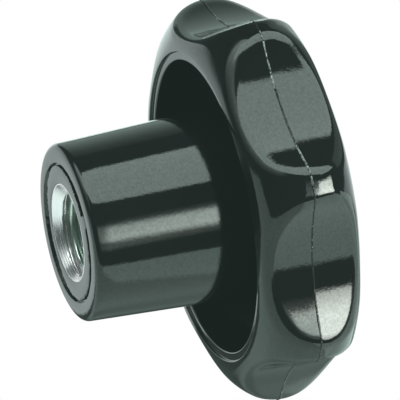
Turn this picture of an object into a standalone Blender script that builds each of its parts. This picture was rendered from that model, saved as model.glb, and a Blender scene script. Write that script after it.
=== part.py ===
"""Seven-lobed hand nut: a moulded phenolic knob with a long hub, and the threaded steel bush
moulded into it.

Frame: metres, +Z up.  The origin is the centre of the hub's end face, the face that lands on
the clamped work; the axis runs up +Z from there, through the hub, to the domed top.
"""
import math

import bmesh
import bpy

for obj in list(bpy.data.objects):
    bpy.data.objects.remove(obj, do_unlink=True)

MM = 0.001

# ---- knob body ------------------------------------------------------------------------
LOBES = 7                  # lobes round the wheel, one of them on +Y
RIM_MID_R = 19.9           # centre of the rim's barrel section, from the axis
RIM_MID_Z = 25.8           # ... and its height
RIM_WIDE = 7.2             # reach of the section outwards: 27.1 mm to the widest point
RIM_LOW = 7.4              # reach of the section towards the hub
RIM_HIGH = 6.3             # reach of the section towards the top
DOME_R = 75.0              # radius of the domed top
PARTING_Z = 25.0           # height of the mould's parting line
SCALLOP_FLOOR = 22.9       # axis to the middle of a finger scallop, at the parting line
SCALLOP_R = 22.7           # radius of the scallop's hollow
SCALLOP_DRAFT = 0.046      # fall of the scallop floor for each mm away from the parting line
RIDGE_ROUND = 1.25         # depth over which scallop and barrel are blended

RING_Z = 18.78             # flat ring round the recess mouth, sunk a little into the rim
RING_OUT_R = 20.4          # where the rim section ends and the step down to the ring starts
MOUTH_R = 19.3
RECESS_R = 18.5            # recess wall at its root
RECESS_TOP = 29.0          # roof of the recess
RECESS_FILLET = 1.5

HUB_END_R = 11.65          # hub at its end face, before the edge is rounded
HUB_ROOT_R = 12.9          # hub where it meets the roof of the recess
HUB_EDGE = 0.8             # rounding of the hub's end edge
RING_MARK_R = (8.75, 9.2)  # groove the mould's core sleeve leaves in the end face
RING_MARK_DEPTH = 0.35

# ---- threaded bush, M12 x 1.75 --------------------------------------------------------
GAP = 0.3                  # clearance between the bush and the moulding
NOSE_R = 6.5               # thin nose that comes out flush with the hub's end
NOSE_LEN = 1.5
BUSH_R = 8.6               # knurled body behind the nose
BUSH_LEN = 20.0
KNURL_DEPTH = 0.35
GROOVE_R = 7.4             # retaining groove the moulding is locked into
GROOVE_Z = (8.5, 11.5)
EDGE = 0.15                # broken edge inside the recess mouth

PITCH = 1.75
THREAD_MINOR_R = 5.05
THREAD_MAJOR_R = 6.0
THREAD_TOP = 15.5          # last full thread
SINK_R = 6.3               # countersink at the end face, 90 degrees
DRILL_TIP = 2.6            # cone left by the drill, above the thread

BUSH_COLUMNS = 48
THREAD_COLUMNS = 32


def rim_point(degrees):
    """Point (radius, height) of the barrel-shaped rim section."""
    level = math.radians(degrees)
    reach = RIM_HIGH if degrees > 0 else RIM_LOW
    return RIM_MID_R + RIM_WIDE * math.cos(level), RIM_MID_Z + reach * math.sin(level)


def dome_height(radius, seat):
    """Height of the domed top at a radius; 'seat' is a point the dome passes through."""
    drop = DOME_R - math.sqrt(DOME_R ** 2 - radius ** 2)
    seat_drop = DOME_R - math.sqrt(DOME_R ** 2 - seat[0] ** 2)
    return seat[1] + seat_drop - drop


def scallop_radius(off_middle, height):
    """Axis to scallop wall, at an angle off the scallop's middle."""
    floor = SCALLOP_FLOOR - SCALLOP_DRAFT * abs(height - PARTING_Z)
    centre = floor + SCALLOP_R
    side = centre * math.sin(off_middle)
    return centre * math.cos(off_middle) - math.sqrt(max(SCALLOP_R ** 2 - side ** 2, 0.0))


def blend(a, b, width):
    """The smaller of a and b, rounded where they are within 'width' of each other."""
    share = min(max(0.5 + 0.5 * (b - a) / width, 0.0), 1.0)
    return b * (1 - share) + a * share - width * share * (1 - share)


def lobe_angles():
    """Column angles, closer together on the ridges than in the scallops."""
    period = 2 * math.pi / LOBES
    steps = [0.0, 2.5, 5.5, 9.5, 14.5, 20.0]
    half = [math.radians(s) for s in steps] + [period / 2]
    offsets = half + [period - h for h in reversed(half[1:-1])]
    return [lobe * period + off for lobe in range(LOBES) for off in offsets]


def off_scallop(angle):
    """Angle from the nearest scallop middle, for an angle measured from a ridge."""
    period = 2 * math.pi / LOBES
    return period / 2 - abs((angle + period / 2) % period - period / 2)


def lathe(name, profile, angles, reach=None):
    """Closed body from a (radius, height) profile that starts and ends on the axis."""
    mesh = bmesh.new()
    rings = []
    for radius, height in profile:
        if radius == 0:
            rings.append([mesh.verts.new((0, 0, height * MM))])
            continue
        ring = []
        for i, angle in enumerate(angles):
            r = reach(radius, height, angle, i) if reach else radius
            ring.append(mesh.verts.new((-r * math.sin(angle) * MM, r * math.cos(angle) * MM,
                                        height * MM)))
        rings.append(ring)
    count = len(angles)
    for low, high in zip(rings, rings[1:]):
        for i in range(count):
            j = (i + 1) % count
            if len(low) == 1:
                mesh.faces.new((low[0], high[i], high[j]))
            elif len(high) == 1:
                mesh.faces.new((low[i], high[0], low[j]))
            else:
                mesh.faces.new((low[i], high[i], high[j], low[j]))
    bmesh.ops.recalc_face_normals(mesh, faces=mesh.faces)
    data = bpy.data.meshes.new(name)
    mesh.to_mesh(data)
    mesh.free()
    obj = bpy.data.objects.new(name, data)
    bpy.context.scene.collection.objects.link(obj)
    return obj


def body_profile():
    """Section of the moulding, from the top of the dome round to the end of the bush's seat."""
    seat = rim_point(71)
    dome = [(r, dome_height(r, seat)) for r in (0, 7.5, 14, 19)]
    rim = [rim_point(a) for a in (71, 58, 45, 32, 19, 6)]
    parting = math.degrees(math.asin((PARTING_Z - RIM_MID_Z) / RIM_LOW))
    rim_end = -math.degrees(math.acos((RING_OUT_R - RIM_MID_R) / RIM_WIDE))
    rim += [rim_point(a) for a in (parting, -20, -34, -48, -61, -73, rim_end)]
    ring = [(RING_OUT_R, RING_Z), (MOUTH_R + EDGE, RING_Z), (MOUTH_R, RING_Z + EDGE)]
    f = RECESS_FILLET
    recess = [(RECESS_R, RECESS_TOP - f), (RECESS_R - 0.3 * f, RECESS_TOP - 0.3 * f),
              (RECESS_R - f, RECESS_TOP), (HUB_ROOT_R + f, RECESS_TOP),
              (HUB_ROOT_R + 0.3 * f, RECESS_TOP - 0.3 * f), (HUB_ROOT_R, RECESS_TOP - f)]
    e = HUB_EDGE
    hub = [(HUB_END_R + 0.04, e), (HUB_END_R - 0.12 * e, 0.5 * e), (HUB_END_R - 0.4 * e, 0.15 * e),
           (HUB_END_R - e, 0)]
    mark_in, mark_out = RING_MARK_R
    mark = [(mark_out, 0), (mark_out, RING_MARK_DEPTH), (mark_in, RING_MARK_DEPTH), (mark_in, 0)]
    nose_r = NOSE_R + GAP
    seat_r = BUSH_R + GAP
    key_r = GROOVE_R + GAP
    low, high = GROOVE_Z[0] + GAP, GROOVE_Z[1] - GAP
    top = BUSH_LEN + GAP
    pocket = [(nose_r, 0), (nose_r, NOSE_LEN - GAP), (seat_r, NOSE_LEN - GAP), (seat_r, low),
              (key_r, low), (key_r, high), (seat_r, high), (seat_r, top), (0, top)]
    return dome + rim + ring + recess + hub + mark + pocket


def body_reach(radius, height, angle, index):
    """Cut the outside of the wheel back to the scallops; everything inside it stays round."""
    return blend(radius, scallop_radius(off_scallop(angle), height), RIDGE_ROUND)


def bush_profile():
    """Section of the bush before threading, from the countersink out and round to its far end."""
    g0, g1 = GROOVE_Z
    sink_floor = 2.6
    return [(0, sink_floor), (SINK_R - sink_floor, sink_floor), (SINK_R, 0), (NOSE_R, 0),
            (NOSE_R, NOSE_LEN), (BUSH_R - 0.5, NOSE_LEN), (BUSH_R, NOSE_LEN + 0.5), (BUSH_R, g0),
            (GROOVE_R, g0), (GROOVE_R, g1), (BUSH_R, g1), (BUSH_R, BUSH_LEN - 0.5),
            (BUSH_R - 0.5, BUSH_LEN), (0, BUSH_LEN)]


def bush_reach(radius, height, angle, index):
    """Straight knurl behind the nose: every other column stands back."""
    return radius - KNURL_DEPTH if radius == BUSH_R and index % 2 else radius


def thread_cutter(name):
    """Closed male form of the tapped hole; its rows follow the helix, four to a turn."""
    crest, flank = PITCH / 8, PITCH * 5 / 16
    rows_per_turn = 4
    steps = [(0, THREAD_MAJOR_R), (crest, THREAD_MAJOR_R), (crest + flank, THREAD_MINOR_R),
             (PITCH - flank, THREAD_MINOR_R)]
    start = -2 * PITCH
    turns = int(round((THREAD_TOP - start) / PITCH))
    mesh = bmesh.new()
    rows = []
    for turn in range(turns + 1):
        for rise, radius in steps:
            base = start + turn * PITCH + rise
            row = []
            for i in range(THREAD_COLUMNS):
                angle = 2 * math.pi * i / THREAD_COLUMNS
                row.append(mesh.verts.new((radius * math.cos(angle) * MM,
                                           radius * math.sin(angle) * MM,
                                           (base + PITCH * angle / (2 * math.pi)) * MM)))
            rows.append(row)
    last = len(rows) - rows_per_turn
    for k in range(last - 1):
        for i in range(THREAD_COLUMNS - 1):
            mesh.faces.new((rows[k][i], rows[k][i + 1], rows[k + 1][i + 1], rows[k + 1][i]))
        i = THREAD_COLUMNS - 1
        mesh.faces.new((rows[k][i], rows[k + rows_per_turn][0], rows[k + rows_per_turn + 1][0],
                        rows[k + 1][i]))
    for row_index, tip in ((0, start - 1), (last - 1, start + turns * PITCH + DRILL_TIP)):
        centre = mesh.verts.new((0, 0, tip * MM))
        step = [rows[row_index + n][0] for n in range(rows_per_turn + 1)]
        loop = rows[row_index] + list(reversed(step))[:-1]
        for a, b in zip(loop, loop[1:] + loop[:1]):
            mesh.faces.new((centre, a, b))
    loose = [v for v in mesh.verts if not v.link_faces]
    bmesh.ops.delete(mesh, geom=loose, context="VERTS")
    bmesh.ops.recalc_face_normals(mesh, faces=mesh.faces)
    data = bpy.data.meshes.new(name)
    mesh.to_mesh(data)
    mesh.free()
    obj = bpy.data.objects.new(name, data)
    bpy.context.scene.collection.objects.link(obj)
    obj.display_type = "WIRE"
    obj.hide_render = True
    return obj


def material(name, colour, roughness, metallic):
    mat = bpy.data.materials.new(name)
    mat.use_nodes = True
    shader = mat.node_tree.nodes["Principled BSDF"]
    shader.inputs["Base Color"].default_value = (*colour, 1.0)
    shader.inputs["Roughness"].default_value = roughness
    shader.inputs["Metallic"].default_value = metallic
    return mat


body = lathe("knob_body", body_profile(), lobe_angles(), body_reach)
body.data.materials.append(material("black_phenolic", (0.012, 0.014, 0.013), 0.16, 0.0))

bush_angles = [2 * math.pi * i / BUSH_COLUMNS for i in range(BUSH_COLUMNS)]
bush = lathe("threaded_insert", bush_profile(), bush_angles, bush_reach)
bush.data.materials.append(material("zinc_plated_steel", (0.62, 0.64, 0.62), 0.32, 1.0))

tapped = bush.modifiers.new("tapped_hole", "BOOLEAN")
tapped.operation = "DIFFERENCE"
tapped.solver = "EXACT"
tapped.object = thread_cutter("cutter_tapped_hole")
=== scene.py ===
"""Seven-lobed hand nut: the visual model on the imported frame, with studio light and camera.

The model's lengths are in millimetres up to mesh_object, which writes metres. Angles round the
axis start on the lobe at +Y and turn towards -X. Heights start at the hub's end face.
"""

import math

import bpy
from mathutils import Matrix, Vector, noise


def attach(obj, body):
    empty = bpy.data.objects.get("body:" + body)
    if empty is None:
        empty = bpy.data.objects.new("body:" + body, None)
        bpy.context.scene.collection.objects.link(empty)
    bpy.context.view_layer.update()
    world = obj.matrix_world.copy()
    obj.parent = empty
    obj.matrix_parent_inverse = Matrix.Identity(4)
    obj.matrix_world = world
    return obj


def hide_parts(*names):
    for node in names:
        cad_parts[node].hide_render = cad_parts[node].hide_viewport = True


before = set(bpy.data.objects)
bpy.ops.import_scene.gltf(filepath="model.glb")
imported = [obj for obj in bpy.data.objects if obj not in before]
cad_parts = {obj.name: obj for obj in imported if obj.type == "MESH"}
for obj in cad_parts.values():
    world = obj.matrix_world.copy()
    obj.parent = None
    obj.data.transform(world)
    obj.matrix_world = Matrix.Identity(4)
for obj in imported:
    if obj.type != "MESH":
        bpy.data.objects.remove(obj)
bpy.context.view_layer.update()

MM = 0.001

# ---- moulding: the CAD model's sizes, with sharper ridges and a finer, deeper ring mark --
LOBES = 7                  # lobes round the wheel, one of them on +Y
RIM_MID_R = 19.9           # centre of the rim's barrel section, from the axis
RIM_MID_Z = 25.8           # ... and its height
RIM_WIDE = 7.2             # reach of the section outwards
RIM_LOW = 7.4              # reach of the section towards the hub
RIM_HIGH = 6.3             # reach of the section towards the top
RIM_SEAT_DEG = 71          # where the section meets the dome, in degrees above its middle
RIM_FOOT_DEG = -80         # where its even division ends, just above the recess mouth
DOME_R = 75.0              # radius of the domed top
PARTING_Z = 25.0           # height of the mould's parting line
SCALLOP_FLOOR = 22.9       # axis to the middle of a finger scallop, at the parting line
SCALLOP_R = 22.7           # radius of the scallop's hollow
SCALLOP_DRAFT = 0.046      # fall of the scallop floor for each mm away from the parting line
RIDGE_ROUND = 1.15         # depth over which scallop and barrel are blended
SIDE_ROUND = 0.8           # what that depth gains towards the wheel's top and underside

RING_Z = 18.78             # flat ring round the recess mouth, sunk a little into the rim
RING_FALL = 0.04           # how much higher the ring is outside than at the mouth
RING_OUT_R = 20.4          # where the rim section ends and the step down to the ring starts
MOUTH_R = 19.3
RECESS_R = 18.5            # recess wall at its root
RECESS_TOP = 29.0          # roof of the recess
RECESS_FILLET = 1.5
RIM_EDGE, RING_ROOT, MOUTH_EDGE = 0.12, 0.1, 0.16   # roundings round the ring

HUB_END_R = 11.65          # hub at its end face, before the edge is rounded
HUB_ROOT_R = 12.9          # hub where it meets the roof of the recess
HUB_EDGE = 0.8             # rounding of the hub's end edge
FACE_EDGE = 0.04           # rounding of the small edges in the end face
MARK_IN, MARK_OUT = 8.85, 9.2   # ring mark that the mould's core sleeve leaves in the end face
MARK_DEPTH, MARK_ROOT = 0.45, 0.05
BRIDGE_AT, BRIDGE_HALF = -6, 6.5   # middle and half width of the mark's gap, in degrees

# ---- bush: the CAD model's sizes, M12 x 1.75 --------------------------------------------
NOSE_R = 6.5               # thin nose that comes out flush with the hub's end
NOSE_LEN = 1.5
NOSE_EDGE = 0.06
BUSH_R = 8.6               # knurled body behind the nose
BUSH_LEN = 20.0
BUSH_CHAMFER = 0.5
KNURL_TEETH, KNURL_DEPTH = 48, 0.3
GROOVE_R = 7.4             # retaining groove that the moulding is locked into
GROOVE_Z = (8.5, 11.5)
GROOVE_ROOT = 0.2
SEAM = 0.02                # what shows of the gap between the moulding and the bush
POCKET_GAP = 0.1           # and the gap where it doesn't show

PITCH = 1.75
THREAD_MINOR_R = 5.05
THREAD_MAJOR_R = 6.0
ROOT_FLAT, FLANK = 1 / 8, 5 / 16   # shares of the pitch; the crest takes the rest
THREAD_SOFT = 0.035        # how far, in shares of the pitch, the thread's corners are rounded
THREAD_TOP = 15.5          # last full thread
SINK_R = 6.3               # countersink at the end face, 90 degrees
DRILL_TIP = 2.6            # cone left by the drill, above the thread

# ---- flash and burr on the moulding -----------------------------------------------------
PALE_PATCHES = (1, 6, 11, 36, 40, 44, 47, 68, 78, 88)   # degrees from +Y towards +X, where the flash gets pale patches of painted highlight
BURR_Z, BURR_RISE = 19.62, 7.7     # lower end of the burr, and the height it covers
BURR_LEAN = 1.5            # degrees that its upper part lies nearer the ridge

# ---- how finely each piece is divided ---------------------------------------------------
BODY_COLUMNS = LOBES * 60
BODY_STEP = 1.6            # longest step of the profile inside the recess and down the hub
DOME_RINGS = (0, 0.6, 1.6, 3, 5, 7, 9, 11, 13, 15, 16.5, 18, 19.3, 20.5, 21.3)
RIM_STEPS = 40             # above the parting line, and again below it
FLASH_COLUMNS = LOBES * 300
BURR_ROWS = 160
BUSH_COLUMNS = 144
THREAD_STEPS = 20          # for each turn of the thread
ARC_STEP = 15              # degrees between the points of a rounded corner


def fade(value, low, high):
    """0 below 'low', 1 above 'high', smooth between."""
    t = min(max((value - low) / (high - low), 0.0), 1.0)
    return t * t * (3 - 2 * t)


def rim_point(degrees):
    """Point (radius, height) of the barrel-shaped rim section."""
    level = math.radians(degrees)
    reach = RIM_HIGH if degrees > 0 else RIM_LOW
    return RIM_MID_R + RIM_WIDE * math.cos(level), RIM_MID_Z + reach * math.sin(level)


def dome_height(radius):
    """Height of the domed top at a radius; the dome passes through the rim's upper end."""
    seat = rim_point(RIM_SEAT_DEG)
    return seat[1] + math.sqrt(DOME_R ** 2 - radius ** 2) - math.sqrt(DOME_R ** 2 - seat[0] ** 2)


def scallop_radius(off_middle, height):
    """Axis to scallop wall, at an angle off the scallop's middle."""
    floor = SCALLOP_FLOOR - SCALLOP_DRAFT * abs(height - PARTING_Z)
    centre = floor + SCALLOP_R
    side = centre * math.sin(off_middle)
    return centre * math.cos(off_middle) - math.sqrt(max(SCALLOP_R ** 2 - side ** 2, 0.0))


def blend(a, b, width):
    """The smaller of a and b, rounded where they are within 'width' of each other."""
    share = min(max(0.5 + 0.5 * (b - a) / width, 0.0), 1.0)
    return b * (1 - share) + a * share - width * share * (1 - share)


def off_scallop(angle):
    """Angle from the nearest scallop's middle."""
    period = 2 * math.pi / LOBES
    return period / 2 - abs((angle + period / 2) % period - period / 2)


def rim_reach(radius, height, angle):
    """Radius cut back to the scallops; all that lies inside them stays round."""
    width = RIDGE_ROUND + SIDE_ROUND * fade(abs(height - PARTING_Z), 2.5, 6)
    return blend(radius, scallop_radius(off_scallop(angle), height), width)


def around(angle, spread, row=0.0):
    """Noise that closes on itself round the axis, about -1 to 1."""
    return noise.noise(Vector((spread * math.cos(angle), spread * math.sin(angle), row)))


def rounded(points):
    """Polyline of (radius, height, rounding); every corner becomes an arc of that radius."""
    out = []
    for i, (r, z, size) in enumerate(points):
        here = Vector((r, z))
        if not size or i in (0, len(points) - 1):
            out.append((r, z))
            continue
        back = (Vector(points[i - 1][:2]) - here).normalized()
        ahead = (Vector(points[i + 1][:2]) - here).normalized()
        half = 0.5 * back.angle(ahead)
        reach = size / math.tan(half)
        centre = here + (back + ahead).normalized() * (size / math.sin(half))
        a, b = here + back * reach - centre, here + ahead * reach - centre
        turn = a.angle(b)
        steps = max(2, math.ceil(math.degrees(turn) / ARC_STEP))
        for k in range(steps + 1):
            t = k / steps
            arm = (a * math.sin((1 - t) * turn) + b * math.sin(t * turn)) / math.sin(turn)
            out.append(tuple(centre + arm))
    return out


def divided(points, longest):
    """The same polyline with no step longer than 'longest'."""
    out = [points[0]]
    for a, b in zip(points, points[1:]):
        steps = max(1, math.ceil(math.dist(a, b) / longest))
        out += [(a[0] + (b[0] - a[0]) * k / steps, a[1] + (b[1] - a[1]) * k / steps)
                for k in range(1, steps + 1)]
    return out


def on_circle(radius, angle, height):
    """Point at a radius, an angle round the axis and a height."""
    return -radius * math.sin(angle), radius * math.cos(angle), height


def signed_degrees(angle):
    """The angle in degrees, between -180 and 180."""
    return (math.degrees(angle) + 180) % 360 - 180


def placed(name, data):
    """New object in the scene, made from a mesh or a camera."""
    obj = bpy.data.objects.new(name, data)
    bpy.context.scene.collection.objects.link(obj)
    return obj


def mesh_object(name, verts, faces, crease=35):
    """Smooth-shaded piece, sharp where its faces meet at more than 'crease' degrees."""
    data = bpy.data.meshes.new(name)
    data.from_pydata([tuple(c * MM for c in v) for v in verts], [], faces)
    data.validate()
    data.shade_smooth()
    data.set_sharp_from_angle(angle=math.radians(crease))
    return placed(name, data)


def painted_highlight_share(obj, shares):
    """Store how much of the surface is painted pale as a highlight, one share for each vertex."""
    level = obj.data.attributes.new("painted_highlight_share", "FLOAT", "POINT")
    for item, share in zip(level.data, shares):
        item.value = share


def lathe(name, profile, columns, reach=None, lift=None, crease=35):
    """Closed body from a (radius, height) profile that runs from axis to axis, top first."""
    verts, rings = [], []
    for radius, height in profile:
        ring = []
        for i in range(1 if radius == 0 else columns):
            angle = 2 * math.pi * i / columns
            r = reach(radius, height, angle) if reach and radius else radius
            z = height + (lift(radius, height, angle) if lift and radius else 0)
            ring.append(len(verts))
            verts.append(on_circle(r, angle, z))
        rings.append(ring)
    faces = []
    for low, high in zip(rings, rings[1:]):
        for i in range(columns):
            j = (i + 1) % columns
            if len(low) == 1:
                faces.append((low[0], high[i], high[j]))
            elif len(high) == 1:
                faces.append((low[i], high[0], low[j]))
            else:
                faces.append((low[i], high[i], high[j], low[j]))
    return mesh_object(name, verts, faces, crease)


def strip_faces(joins):
    """Faces of a strip of five-point sections, between each pair of sections in 'joins'."""
    return [(5 * i + k, 5 * i + (k + 1) % 5, 5 * j + (k + 1) % 5, 5 * j + k)
            for i, j in joins for k in range(5)]


# ---- moulding ---------------------------------------------------------------------------
PARTING_DEG = math.degrees(math.asin((PARTING_Z - RIM_MID_Z) / RIM_LOW))


def body_profile():
    """Dome, rim, ring, recess, hub and end face, and then the pocket for the bush."""
    dome = [(r, dome_height(r)) for r in (*DOME_RINGS, rim_point(RIM_SEAT_DEG)[0])]
    upper, lower = PARTING_DEG - RIM_SEAT_DEG, RIM_FOOT_DEG - PARTING_DEG
    rim = [rim_point(RIM_SEAT_DEG + upper * k / RIM_STEPS) for k in range(1, RIM_STEPS + 1)]
    rim += [rim_point(PARTING_DEG + lower * k / RIM_STEPS) for k in range(1, RIM_STEPS + 1)]
    rim_end = rim_point(-math.degrees(math.acos((RING_OUT_R - RIM_MID_R) / RIM_WIDE)))
    inside = rounded([
        (*rim_point(RIM_FOOT_DEG - 2), 0), (*rim_end, RIM_EDGE), (RING_OUT_R, RING_Z, RING_ROOT),
        (MOUTH_R, RING_Z - RING_FALL, MOUTH_EDGE), (RECESS_R, RECESS_TOP, RECESS_FILLET),
        (HUB_ROOT_R, RECESS_TOP, RECESS_FILLET), (HUB_END_R, 0, HUB_EDGE),
        (MARK_OUT, 0, FACE_EDGE), (MARK_OUT, MARK_DEPTH, MARK_ROOT),
        (MARK_IN, MARK_DEPTH, MARK_ROOT), (MARK_IN, 0, FACE_EDGE),
        (NOSE_R + SEAM, 0, FACE_EDGE), (NOSE_R + SEAM, NOSE_LEN - SEAM, 0)])
    pocket_r, pocket_top = BUSH_R + POCKET_GAP, BUSH_LEN + POCKET_GAP
    pocket = [(pocket_r, NOSE_LEN - SEAM), (pocket_r, pocket_top), (0, pocket_top)]
    return dome + rim + divided(inside, BODY_STEP) + pocket


def mark_opening(angle):
    """0 where the ring mark is bridged, over a few degrees, and 1 elsewhere."""
    return 1 - fade(BRIDGE_HALF - abs(signed_degrees(angle) - BRIDGE_AT), 0, 1.2)


def mark_width(angle):
    """Width of the ring mark: broadest towards +Y and -Y, narrow between, and ragged."""
    broad = 0.35 if BRIDGE_AT < signed_degrees(angle) < 90 else 0.95
    width = 0.34 + 1.25 * broad * math.cos(angle) ** 2
    width *= 1 + 0.3 * around(angle, 8, 5) + 0.35 * around(angle, 40, 3)
    return min(width, 1.45) * mark_opening(angle) + 0.03


def in_mark(radius, height):
    """Whether a point of the profile belongs to the ring mark."""
    return height < MARK_DEPTH + 0.15 and MARK_IN - 0.1 < radius < MARK_OUT + 0.1


def body_reach(radius, height, angle):
    """Scallops outside, and the ragged walls of the ring mark in the end face."""
    if not in_mark(radius, height):
        return rim_reach(radius, height, angle)
    if radius < (MARK_IN + MARK_OUT) / 2:
        return radius + MARK_OUT - MARK_IN - mark_width(angle)
    flare = 0.4 * fade(-math.cos(angle), 0.1, 0.9) * (1 - fade(height, 0.1, MARK_DEPTH))
    return radius + flare + 0.05 * around(angle, 40, 3) + 0.07 * around(angle, 9, 5)


def body_lift(radius, height, angle):
    """The ring mark is cut to an uneven depth."""
    if height > MARK_ROOT and in_mark(radius, height):
        return -height * (1 - mark_opening(angle)) * 0.9 - 0.05 + 0.05 * around(angle, 2.6, 11)
    return 0


body = lathe("knob_moulding", body_profile(), BODY_COLUMNS, body_reach, body_lift)
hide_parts("knob_body")
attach(body, "root")


def parting_flash():
    """Ragged bead that the mould's parting line leaves round the rim."""
    verts, shares = [], []
    rim_r = rim_point(PARTING_DEG)[0]
    for i in range(FLASH_COLUMNS):
        angle = 2 * math.pi * i / FLASH_COLUMNS
        base = rim_reach(rim_r, PARTING_Z, angle)
        coarse, fine = around(angle, 5, 1), around(angle, 70, 2)
        proud = max(0.09 + 0.07 * coarse + 0.07 * fine, 0.02)
        wide = 0.13 + 0.05 * coarse + 0.05 * around(angle, 50, 4)
        drift = 0.06 * around(angle, 24, 6) + 0.03 * fine
        # Pale patches at the listed angles and pale flecks elsewhere: painted highlight along the
        # flash.
        towards_x = (360 - math.degrees(angle)) % 360
        patch = sum(fade(5 - abs(towards_x - middle), 0, 5) for middle in PALE_PATCHES)
        shares += [0.05 + 0.34 * patch + 0.15 * coarse] * 5
        section = [(-0.10, -wide - 0.06), (0.75 * proud, drift - wide * 0.7), (proud, drift),
                   (0.75 * proud, drift + wide * 0.7), (-0.10, wide + 0.06)]
        verts += [on_circle(base + out, angle, PARTING_Z + along) for out, along in section]
    faces = strip_faces([(i, (i + 1) % FLASH_COLUMNS) for i in range(FLASH_COLUMNS)])
    obj = mesh_object("parting_line_flash", verts, faces, 80)
    painted_highlight_share(obj, shares)
    return obj


flash = parting_flash()
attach(flash, "root")


def scallop_edge(rim_r, height):
    """Angle off a ridge at which the scallop's wall leaves the rim's round surface."""
    low, high = 0.0, math.pi / LOBES
    for _ in range(30):
        off = (low + high) / 2
        inside = scallop_radius(math.pi / LOBES - off, height) < rim_r
        low, high = (low, off) if inside else (off, high)
    return off


def ridge_burr():
    """Thin burr along one side of one ridge, thinning out towards both ends, painted pale as a
    highlight.
    """
    ridge = -2 * math.pi / LOBES
    verts = []
    for row in range(BURR_ROWS + 1):
        t = row / BURR_ROWS
        height = BURR_Z + BURR_RISE * t ** 1.7
        reach = RIM_HIGH if height > RIM_MID_Z else RIM_LOW
        rim_r = rim_point(math.degrees(math.asin((height - RIM_MID_Z) / reach)))[0]
        angle = ridge - scallop_edge(rim_r, height)
        angle += math.radians(BURR_LEAN) * fade(height, BURR_Z + 0.18, BURR_Z + 2.38)
        base = rim_reach(rim_r, height, angle)
        end = fade(min(t, 1 - t), 0, 0.1)
        proud = end * (0.12 + 0.04 * noise.noise(Vector((row * 0.21, 3, 0)))) - 0.02
        wide = end * (0.125 + 0.05 * noise.noise(Vector((row * 0.17, 9, 0))))
        half_turn = (wide + 0.01) / rim_r
        section = [(-0.12, -1), (0.8 * proud, -0.8), (proud, 0), (0.8 * proud, 0.8), (-0.12, 1)]
        verts += [on_circle(base + out, angle + side * half_turn, height) for out, side in section]
    faces = strip_faces([(row, row + 1) for row in range(BURR_ROWS)])
    faces += [tuple(range(5)), tuple(5 * BURR_ROWS + k for k in reversed(range(5)))]
    obj = mesh_object("ridge_edge_burr", verts, faces, 80)
    # Nearly all of it pale: a painted highlight along the ridge edge.
    painted_highlight_share(obj, [0.9] * len(verts))
    return obj


burr = ridge_burr()
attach(burr, "root")


# ---- bush -------------------------------------------------------------------------------
def thread_radius(height, angle):
    """Right-hand internal thread: root, flank, crest, flank, with its corners rounded."""
    def cut(t):
        t %= 1
        depth = THREAD_MAJOR_R - THREAD_MINOR_R
        if t < ROOT_FLAT:
            return THREAD_MAJOR_R
        if t < ROOT_FLAT + FLANK:
            return THREAD_MAJOR_R - depth * (t - ROOT_FLAT) / FLANK
        if t < 1 - FLANK:
            return THREAD_MINOR_R
        return THREAD_MINOR_R + depth * (t - 1 + FLANK) / FLANK
    turn = height / PITCH - (angle + math.pi / 2) / (2 * math.pi)
    return (cut(turn - THREAD_SOFT) + 2 * cut(turn) + cut(turn + THREAD_SOFT)) / 4


def bush_reach(radius, height, angle):
    """Thread and countersink inside, and the knurl's teeth outside."""
    if radius < SINK_R - 0.01 and height <= THREAD_TOP:
        return max(thread_radius(height, angle), SINK_R - height)
    if radius == BUSH_R and math.sin(KNURL_TEETH * angle) < 0:
        return radius - KNURL_DEPTH
    return radius


def bush_profile():
    """Back, knurled body with its groove, nose, and then the threaded hole."""
    groove_low, groove_high = GROOVE_Z
    outside = rounded([
        (0, BUSH_LEN, 0), (BUSH_R - BUSH_CHAMFER, BUSH_LEN, 0),
        (BUSH_R, BUSH_LEN - BUSH_CHAMFER, 0), (BUSH_R, groove_high, 0),
        (GROOVE_R, groove_high, GROOVE_ROOT), (GROOVE_R, groove_low, GROOVE_ROOT),
        (BUSH_R, groove_low, 0), (BUSH_R, NOSE_LEN + BUSH_CHAMFER, 0),
        (BUSH_R - BUSH_CHAMFER, NOSE_LEN, 0), (NOSE_R, NOSE_LEN, 0), (NOSE_R, 0, NOSE_EDGE),
        (SINK_R, 0, 0)])
    step = PITCH / THREAD_STEPS
    thread = [(THREAD_MINOR_R, step * k) for k in range(1, int(THREAD_TOP / step) + 1)]
    return outside + thread + [(THREAD_MINOR_R, THREAD_TOP + 0.1), (0, THREAD_TOP + DRILL_TIP)]


bush = lathe("bush", bush_profile(), BUSH_COLUMNS, bush_reach, crease=40)
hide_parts("threaded_insert")
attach(bush, "root")


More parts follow.
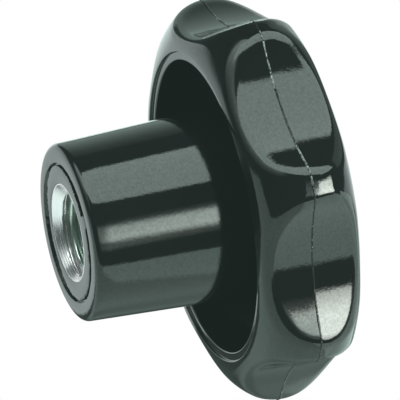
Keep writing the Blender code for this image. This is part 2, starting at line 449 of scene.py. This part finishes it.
# ---- materials --------------------------------------------------------------------------
class Nodes:
    """Short hand for building a material's node tree."""

    def __init__(self, name):
        self.material = bpy.data.materials.new(name)
        self.material.use_nodes = True
        self.tree = self.material.node_tree
        self.shader = self.tree.nodes["Principled BSDF"]
        self.place = self.add("ShaderNodeTexCoord").outputs["Object"]

    def add(self, kind, links=None, **values):
        """New node; 'links' fills its inputs, 'values' sets its own properties."""
        node = self.tree.nodes.new(kind)
        for key, value in values.items():
            setattr(node, key, value)
        for key, value in (links or {}).items():
            self.put(node.inputs[key], value)
        return node

    def put(self, socket, value):
        """Link an output to the input, or give the input a fixed value."""
        if isinstance(value, bpy.types.NodeSocket):
            self.tree.links.new(value, socket)
        else:
            socket.default_value = value

    def surface(self, inputs):
        """Fill inputs of the shader by name."""
        for key, value in inputs.items():
            self.put(self.shader.inputs[key], value)

    def noise(self, scale, detail=2.0, roughness=0.5, at=None):
        node = self.add("ShaderNodeTexNoise", {"Vector": at or self.place, "Scale": scale,
                                               "Detail": detail, "Roughness": roughness})
        return node.outputs["Fac"]

    def ramp(self, value, low, high, out_low=0.0, out_high=1.0):
        node = self.add("ShaderNodeMapRange", {"Value": value, "From Min": low, "From Max": high,
                                               "To Min": out_low, "To Max": out_high})
        node.clamp = True
        return node.outputs["Result"]

    def math(self, operation, a, b=0.0):
        node = self.add("ShaderNodeMath", {0: a, 1: b}, operation=operation)
        return node.outputs[0]

    def mix(self, share, first, second):
        """Colour between two others; 6 and 7 are the node's colour inputs, 2 its output."""
        node = self.add("ShaderNodeMix", {"Factor": share, 6: (*first, 1), 7: (*second, 1)},
                        data_type="RGBA")
        return node.outputs[2]

    def bump(self, height, distance, onto=None):
        node = self.add("ShaderNodeBump", {"Height": height, "Distance": distance})
        if onto:
            self.put(node.inputs["Normal"], onto)
        return node.outputs["Normal"]


def phenolic(name):
    """Glossy black moulding, with a fine grain in how strongly it reflects."""
    n = Nodes(name)
    grain = n.noise(3000, 3, 0.7)
    waves = n.bump(n.noise(900, 2), 0.000006)
    n.surface({
        "Base Color": n.mix(n.ramp(n.noise(60, 3), 0.3, 0.7),
                            (0.0010, 0.0011, 0.0011), (0.0018, 0.0020, 0.0020)),
        "Roughness": n.ramp(n.noise(900, 3), 0.3, 0.7, 0.03, 0.05),
        "IOR": 1.5,
        "Specular IOR Level": n.ramp(grain, 0.3, 0.7, 0.40, 0.59),
        "Normal": n.bump(grain, 0.000006, onto=waves)})
    return n.material


def painted_highlight_material(name):
    """The same moulding, matt and pale in flecks: a painted highlight on the flash and the burr."""
    n = Nodes(name)
    # The stored share and fine noise place the pale flecks of painted highlight.
    share = n.add("ShaderNodeAttribute", attribute_name="painted_highlight_share").outputs["Fac"]
    fleck = n.math("ADD", n.noise(3200, 3, 0.7), n.math("MULTIPLY", share, 0.5))
    pale = n.ramp(fleck, 0.62, 0.8)
    n.surface({
        "Base Color": n.mix(pale, (0.0016, 0.0018, 0.0018), (0.15, 0.17, 0.16)),
        "Roughness": n.ramp(pale, 0, 1, 0.2, 0.5),
        "Specular IOR Level": 0.25,
        "IOR": 1.5})
    return n.material


def plated_steel(name):
    """Turned, zinc-plated steel: fine rings round the axis, and darker down the hole, which is
    painted shade.
    """
    n = Nodes(name)
    flat_place = n.add("ShaderNodeVectorMath", {0: n.place, 1: (1, 1, 0)}, operation="MULTIPLY")
    radius = n.add("ShaderNodeVectorMath", {0: flat_place.outputs[0]}, operation="LENGTH")
    parts = n.add("ShaderNodeSeparateXYZ", {"Vector": n.place})
    ring = n.add("ShaderNodeCombineXYZ", {"X": radius.outputs["Value"], "Y": parts.outputs["Z"],
                                          "Z": n.math("MULTIPLY", parts.outputs["X"], 0.04)})
    # Darker, greener colour deeper in the hole: painted shade.
    painted_shade_down_the_hole = n.ramp(parts.outputs["Z"], 0.0010, 0.0022)
    grooves = n.noise(5000, 3, 0.7, at=ring.outputs[0])
    n.surface({
        "Metallic": 1.0,
        "Base Color": n.mix(painted_shade_down_the_hole, (0.94, 0.85, 0.89), (0.62, 0.69, 0.65)),
        "Roughness": n.ramp(grooves, 0.35, 0.65, 0.14, 0.34),
        "Normal": n.bump(grooves, 0.00004)})
    return n.material


black = phenolic("black_phenolic_gloss")
steel = plated_steel("zinc_plated_steel_turned")
flecked_highlight = painted_highlight_material("black_phenolic_painted_highlight")
for obj, material in ((body, black), (flash, flecked_highlight), (burr, flecked_highlight), (bush, steel)):
    obj.data.materials.append(material)


# ---- camera, in metres ------------------------------------------------------------------
# It looks up at the hub's end from below, and is rolled so that the knob's axis lies nearly
# level in the frame.
VIEW_AROUND = -179.922     # degrees round the frame's upright axis, from -Y
VIEW_UP = -16.856          # degrees above level
VIEW_ROLL = 78.987
CAMERA_AT = Vector((0.0, 0.69126, -0.19114))
SENSOR_MM, LENS_MM = 36.0, 501.435


def turned(degrees, axis):
    """Rotation about one of the frame's axes."""
    return Matrix.Rotation(math.radians(degrees), 3, axis)


camera_turn = turned(VIEW_AROUND, "Z") @ turned(90 - VIEW_UP, "X") @ turned(VIEW_ROLL, "Z")
RIGHT, UP, BACK = camera_turn.transposed()
camera_data = bpy.data.cameras.new("camera")
camera_data.sensor_width, camera_data.lens = SENSOR_MM, LENS_MM
camera_data.clip_start, camera_data.clip_end = 0.01, 10
camera = placed("camera", camera_data)
camera.matrix_world = Matrix.Translation(CAMERA_AT) @ camera_turn.to_4x4()
bpy.context.scene.camera = camera


# ---- studio, in metres ------------------------------------------------------------------
# The knob is a black mirror, so it is lit by plain glowing cards that stand in the directions
# it reflects. Directions are seen from its middle: x is the camera's right, y its up, and z
# points back to the camera.
MIDDLE = Vector((0, 0, 0.0175))
SKY = Vector((0, 1, 0))
CARD_CELLS = 24            # cells along each side of a shaded card
SOFTBOX_TINT = (0.89, 1.10, 1.01)
LAMP_TINT = (0.97, 1.06, 0.97)
SPILL_TINT = (0.92, 1.08, 1.0)
TABLE_TINT = (0.86, 1.12, 1.02)
WALL_TINT = (0.91, 1.06, 1.03)
LEFT_WALL_TINT = (0.89, 1.09, 1.02)


def spoke(around_deg, up_deg):
    """Direction: 0 towards the camera, positive to its right; and the height above level."""
    a, e = math.radians(around_deg), math.radians(up_deg)
    return Vector((math.cos(e) * math.sin(a), math.sin(e), math.cos(e) * math.cos(a)))


def spokes(*directions):
    """Directions given as (around, up) pairs of degrees."""
    return [spoke(*direction) for direction in directions]


def flat(*points):
    """Directions to points on the level plane one unit above (or below) the object."""
    return [Vector(p) for p in points]


def glowing(name, tint):
    """Material that glows as brightly as the mesh's attribute 'level' says."""
    material = bpy.data.materials.new(name)
    material.use_nodes = True
    tree = material.node_tree
    tree.nodes.clear()
    glow = tree.nodes.new("ShaderNodeEmission")
    glow.inputs["Color"].default_value = (*tint, 1)
    strength = tree.nodes.new("ShaderNodeAttribute")
    strength.attribute_name = "level"
    out = tree.nodes.new("ShaderNodeOutputMaterial")
    tree.links.new(strength.outputs["Fac"], glow.inputs["Strength"])
    tree.links.new(glow.outputs[0], out.inputs["Surface"])
    return material


def card(name, corners, facing, distance, radiance, tint, shade=None):
    """Flat glowing panel, square to 'facing' and 'distance' away, with its corners as given.

    'shade' is the share of the radiance in a direction (around, up); it needs four corners.
    The camera doesn't see the panel, and it throws no shadow.
    """
    points = [c * (distance / c.dot(facing)) for c in corners]
    faces = [tuple(range(len(points)))]
    if shade:
        n = CARD_CELLS
        a, b, c, d = points
        points = [a.lerp(b, i / n).lerp(d.lerp(c, i / n), j / n)
                  for j in range(n + 1) for i in range(n + 1)]
        faces = [(k, k + 1, k + n + 2, k + n + 1) for j in range(n)
                 for k in range(j * (n + 1), j * (n + 1) + n)]
    data = bpy.data.meshes.new(name)
    data.from_pydata([MIDDLE + RIGHT * c.x + UP * c.y + BACK * c.z for c in points], [], faces)
    level = data.attributes.new("level", "FLOAT", "POINT")
    for item, c in zip(level.data, points):
        around_deg = math.degrees(math.atan2(c.x, c.z))
        up_deg = math.degrees(math.asin(c.y / c.length))
        item.value = radiance * (shade(around_deg, up_deg) if shade else 1)
    data.materials.append(glowing(name, tint))
    obj = placed(name, data)
    obj.visible_camera = False
    obj.visible_shadow = False


def table_shade(around_deg, up_deg):
    """Darker behind the object, where it stands in its own shade."""
    off = (around_deg + 178) % 360
    off = min(off, 360 - off)
    level = 0.33 + 0.50 * fade(off, 12, 62) + 0.14 * fade(-up_deg, 16, 36) * fade(off, 15, 32)
    level *= 1 - 0.75 * (1 - fade(off, 18, 38)) * (1 - fade(-up_deg, 18, 32))
    steep = fade(-up_deg, 46, 70)
    return level * (1 - steep) + steep


def backdrop_shade(around_deg, up_deg):
    """Full in the middle, fading towards the left end and at its foot."""
    around_deg = around_deg if around_deg < 0 else around_deg - 360
    side = 1 - 0.92 * fade(around_deg, -127, -112)
    foot = 1 - 0.5 * fade(-up_deg, -2, 5) * fade(around_deg, -144, -134)
    steps = 0.3 * fade(-around_deg, 147, 153) + 0.4 * fade(-around_deg, 162, 170)
    foot *= 1 - fade(-up_deg, -3, 2) * steps
    return side * foot + 0.4 * fade(-around_deg, 146, 154) * fade(up_deg, -4, 1)


def wall_shade(around_deg, up_deg):
    """Darker towards the ceiling."""
    return 1 - 0.65 * fade(up_deg, 42, 74)


def left_wall_shade(around_deg, up_deg):
    """Brighter towards the ceiling, dying away at both ends."""
    ends = fade(around_deg, -100, -82) * (1 - fade(around_deg, -38, -14))
    return (0.4 + 2.1 * fade(up_deg, 14, 52)) * ends


def corner_shade(around_deg, up_deg):
    """Darker behind the object, from a line that leans with the height."""
    start = 146 + 8 * fade(up_deg, -38, -26)
    return 1 - 0.75 * fade(around_deg, start, start + 18)


def far_right_shade(around_deg, up_deg):
    """Darker at its foot, straight behind the object."""
    return 1 - 0.65 * fade(around_deg, 150, 168) * fade(-up_deg, -4, 2)


def lamp_shade(around_deg, up_deg):
    """Brightest a little below its middle; the left edge is soft, the lower right one slants."""
    foot = -14.0 - 9.5 * fade(around_deg, 30, 44)
    right = 76.8 + 1.3 * up_deg
    level = 1 - 0.45 * fade(abs(up_deg + 3), 5, 20)
    level *= 0.06 + 0.94 * fade(up_deg, foot - 2, foot + 1)
    return level * fade(around_deg, 22, 42) * (1 - 0.97 * fade(around_deg, right, right + 2))


def spill_shade(around_deg, up_deg):
    """Soft foot, soft head, and a weak left part."""
    foot = 0.04 + 0.12 * fade(up_deg, -27, -22) + 0.84 * fade(up_deg, -18.5, -11.5)
    return foot * (1 - 0.93 * fade(up_deg, -1, 7)) * (0.2 + 0.8 * fade(around_deg, 21, 31))


card("overhead_softbox",
     flat((-1.15, 1, 0.95), (-0.62, 1, 1.10), (0.0, 1, 1.33), (0.35, 1, 1.46), (0.65, 1, 1.39),
          (1.0, 1, 1.27), (1.38, 1, 1.42), (1.34, 1, 0.60), (1.18, 1, 0.10), (0.10, 1, 0.11),
          (-0.05, 1, 0.26), (-0.25, 1, 0.44), (-0.60, 1, 0.33)),
     SKY, 0.9, 3.5, SOFTBOX_TINT)
card("front_right_softbox", spokes((33.5, 7), (72, 13), (76, -26), (33.5, -23)),
     spoke(53, 0), 0.9, 17.6, LAMP_TINT, lamp_shade)
card("front_right_spill", spokes((10, 9), (33.5, 9), (33.5, -26), (10, -26)),
     spoke(22, -8), 0.9, 7.4, SPILL_TINT, spill_shade)
card("table", flat((-9.0, -1, 1.0), (0.45, -1, 0.95), (0.45, -1, -3.2), (-9.0, -1, -3.2)),
     -SKY, 0.3, 1.0, TABLE_TINT, table_shade)
card("table_by_the_lamp",
     flat((0.45, -1, 0.87), (1.1, -1, 0.68), (4, -1, 0.9), (4, -1, -0.4), (0.45, -1, -0.4)),
     -SKY, 0.3, 1.8, TABLE_TINT)
card("table_behind_right", flat((0.45, -1, -0.4), (6, -1, -0.4), (6, -1, -6), (0.45, -1, -6)),
     -SKY, 0.3, 1.35, TABLE_TINT, corner_shade)
card("backdrop_left", spokes((180, 20), (-112, 19), (-112, -8.5), (180, -9)),
     spoke(-150, 0), 0.3, 1.0, WALL_TINT, backdrop_shade)
card("backdrop_right", spokes((180, 15), (107, 7), (107, 0), (180, -9)),
     spoke(145, 0), 1.2, 1.1, WALL_TINT, far_right_shade)
card("dark_block_behind", spokes((-168, -16), (-130, -16), (-130, -27), (-168, -27)),
     spoke(-149, -20), 0.09, 0.1, TABLE_TINT)
card("foot_of_the_wall", spokes((128, 1), (92, 1), (92, -16), (128, -16)),
     spoke(110, 0), 1.1, 1.9, TABLE_TINT)
card("wall_left", spokes((-100, 60), (-14, 60), (-14, 9), (-100, 9)),
     spoke(-57, 32), 1.6, 0.95, LEFT_WALL_TINT, left_wall_shade)
card("wall_right", spokes((158, 64), (158, 20), (98, 24), (98, 58)),
     spoke(125, 40), 1.5, 0.45, TABLE_TINT)
card("bright_wall_behind_right", spokes((180, 38), (180, 17), (158, 17), (152, 45)),
     spoke(165, 28), 1.4, 0.95, WALL_TINT)
card("wall_behind", spokes((-148, 72), (-150, 21), (150, 21), (150, 60)),
     spoke(180, 45), 1.5, 0.55, TABLE_TINT, wall_shade)


# ---- floor and room ---------------------------------------------------------------------
FLOOR_R, FLOOR_Z = 1.3, -0.45      # well below, so that it never hides the object
FLOOR_SIDES = 64


def pale_floor():
    """Plain round floor, matt and nearly white."""
    corners = [on_circle(FLOOR_R, 2 * math.pi * k / FLOOR_SIDES, FLOOR_Z) for k in range(FLOOR_SIDES)]
    data = bpy.data.meshes.new("floor")
    data.from_pydata(corners, [], [tuple(range(FLOOR_SIDES))])
    material = bpy.data.materials.new("pale_floor")
    material.use_nodes = True
    shader = material.node_tree.nodes["Principled BSDF"]
    shader.inputs["Base Color"].default_value = (0.8, 0.8, 0.79, 1)
    shader.inputs["Roughness"].default_value = 0.8
    data.materials.append(material)
    obj = placed("floor", data)
    obj.visible_glossy = False
    return obj


def white_room():
    """White all round, but dim to the object's reflections, which the cards light instead."""
    world = bpy.data.worlds.new("white_room")
    world.use_nodes = True
    tree = world.node_tree
    white = tree.nodes["Background"]
    white.inputs["Color"].default_value = (1, 1, 1, 1)
    dim = tree.nodes.new("ShaderNodeBackground")
    dim.inputs["Color"].default_value = (0.8, 1.1, 1.0, 1)
    dim.inputs["Strength"].default_value = 0.09
    mix = tree.nodes.new("ShaderNodeMixShader")
    ray = tree.nodes.new("ShaderNodeLightPath")
    tree.links.new(ray.outputs["Is Glossy Ray"], mix.inputs[0])
    tree.links.new(white.outputs[0], mix.inputs[1])
    tree.links.new(dim.outputs[0], mix.inputs[2])
    tree.links.new(mix.outputs[0], tree.nodes["World Output"].inputs["Surface"])
    return world


floor = pale_floor()
bpy.context.scene.world = white_room()

look = bpy.context.scene.view_settings
look.view_transform = "Standard"
look.use_curve_mapping = True
look.curve_mapping.black_level = (-0.0105, -0.0170, -0.0148)   # lifts the blacks, green most
